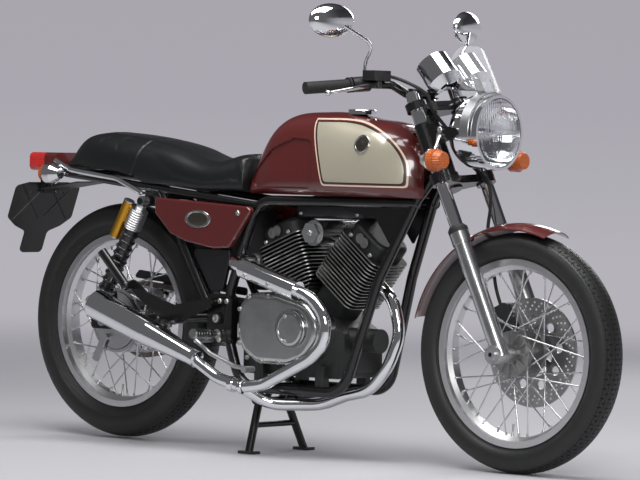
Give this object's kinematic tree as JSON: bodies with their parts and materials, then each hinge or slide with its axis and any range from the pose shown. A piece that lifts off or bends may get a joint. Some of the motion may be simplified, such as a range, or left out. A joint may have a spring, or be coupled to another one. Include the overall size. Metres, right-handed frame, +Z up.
{
  "type": "motorcycle",
  "caption": "Small cafe racer with an air-cooled V-twin, wire wheels, flyscreen and tail-pad seat, parked level on its centre stand.",
  "frame": {"origin": "on the floor, midway between the front of the front tyre and the end of the plate board, in the plane of the wheels", "axes": "+X forward, +Y to the rider's left, +Z up"},
  "size_m": [2.0905, 0.7026, 1.196],
  "materials": {
    "maroon_paint": "high gloss",
    "black_paint": "satin",
    "chrome": "polished",
    "polished_alloy": "polished",
    "cast_alloy": "satin",
    "dark_fins": "satin",
    "steel": "brushed",
    "chain_steel": "oiled",
    "tyre": "matt",
    "rubber": "matt",
    "seat_cover": "grained",
    "black_plastic": "matt",
    "clear_glass": "clear",
    "tinted_screen": "smoke",
    "red_lens": "glossy"
  },
  "bodies": {
    "chassis": {"frame_head": "black_paint", "frame_cradles": "black_paint", "frame_uppers": "black_paint", "frame_cross_tube": "black_paint", "seat_rails": "black_paint", "swingarm": "black_paint", "shock_absorbers": "chrome", "shock_reservoirs": "polished_alloy", "crankcase": "cast_alloy", "clutch_cover": "polished_alloy", "generator_cover": "polished_alloy", "front_cylinder": "dark_fins", "rear_cylinder": "dark_fins", "carburettors": "dark_fins", "intake_cover": "chrome", "exhaust_pipes": "chrome", "silencer": "chrome", "fuel_tank": "maroon_paint", "fuel_cap": "chrome", "seat": "seat_cover", "side_covers": "maroon_paint", "battery_box": "black_plastic", "rear_undertray": "black_paint", "tail_lamp": "maroon_paint", "tail_lens": "red_lens", "grab_rails": "chrome", "rear_indicators": "chrome", "footrests": "polished_alloy", "pillion_brackets": "polished_alloy", "foot_pedals": "steel", "drive_chain": "chain_steel", "chain_guard": "black_plastic", "rear_axle": "steel"},
    "steering": {"lower_yoke": "black_paint", "upper_yoke": "polished_alloy", "fork_tubes": "chrome", "fork_sliders": "polished_alloy", "front_axle": "steel", "front_mudguard": "maroon_paint", "headlamp_shell": "chrome", "headlamp_lens": "clear_glass", "headlamp_brackets": "chrome", "front_indicators": "chrome", "instruments": "chrome", "flyscreen": "tinted_screen", "screen_band": "steel", "handlebar": "black_paint", "grips": "rubber", "hand_controls": "black_plastic", "mirrors": "chrome", "brake_caliper": "cast_alloy", "brake_hose": "rubber"},
    "front_wheel": {"front_tyre": "tyre", "front_wire_wheel": "polished_alloy", "brake_disc": "steel"},
    "rear_wheel": {"rear_tyre": "tyre", "rear_wire_wheel": "polished_alloy"},
    "centre_stand": {"centre_stand_legs": "black_paint"},
    "side_stand": {"side_stand_leg": "black_paint"}
  },
  "joints": [
    {"name": "steering_turn", "type": "hinge", "parent": "chassis", "child": "steering", "pos_m": [0.49174, 0, 0.74225], "axis": [-0.4258, 0, 0.9048], "range_deg": [-35, 35]},
    {"name": "front_wheel_spin", "type": "hinge", "parent": "steering", "child": "front_wheel", "pos_m": [0.73635, 0, 0.309], "axis": [0, 1, 0], "continuous": true},
    {"name": "rear_wheel_spin", "type": "hinge", "parent": "chassis", "child": "rear_wheel", "pos_m": [-0.64865, 0, 0.331], "axis": [0, 1, 0], "continuous": true},
    {"name": "centre_stand_fold", "type": "hinge", "parent": "chassis", "child": "centre_stand", "pos_m": [-0.10365, 0, 0.142], "axis": [0, 1, 0], "range_deg": [0, 80]},
    {"name": "side_stand_fold", "type": "hinge", "parent": "chassis", "child": "side_stand", "pos_m": [0.01135, 0.122, 0.16], "axis": [0, -1, 0], "range_deg": [0, 88]}
  ]
}
